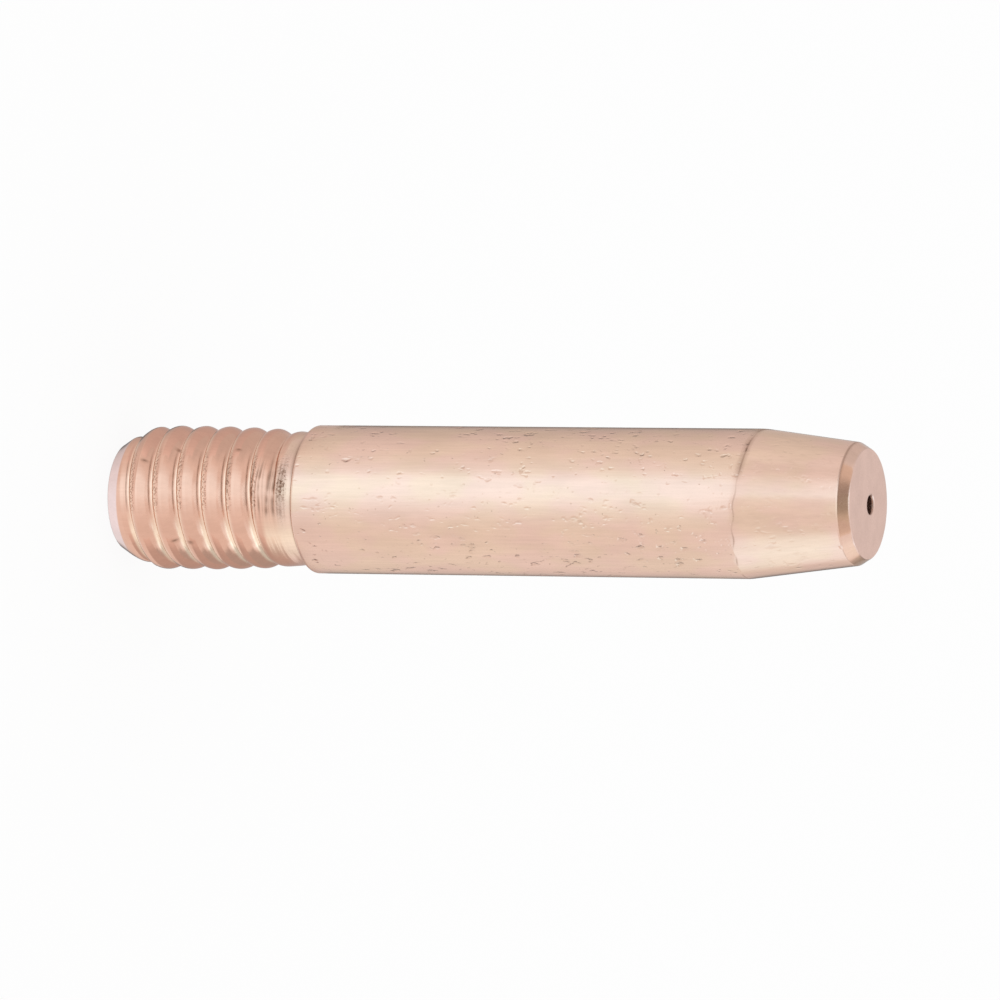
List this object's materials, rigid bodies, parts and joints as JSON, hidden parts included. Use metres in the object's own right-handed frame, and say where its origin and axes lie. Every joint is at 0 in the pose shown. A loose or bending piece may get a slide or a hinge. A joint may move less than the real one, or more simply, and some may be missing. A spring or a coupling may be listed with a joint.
{
  "type": "welding contact tip",
  "caption": "Copper contact tip for a wire-fed welding torch: threaded rear end, round body, slightly tapered nose and a wire bore through its length.",
  "frame": {"origin": "centre of the flat rear face, on which the tip stands, threaded end down", "axes": "+Z along the tip's axis, from the threaded rear end to the nose"},
  "size_m": [0.008, 0.008, 0.0424],
  "materials": {
    "copper": "bright drawn and turned copper, unplated"
  },
  "bodies": {
    "root": {"contact_tip": "copper"}
  },
  "joints": []
}
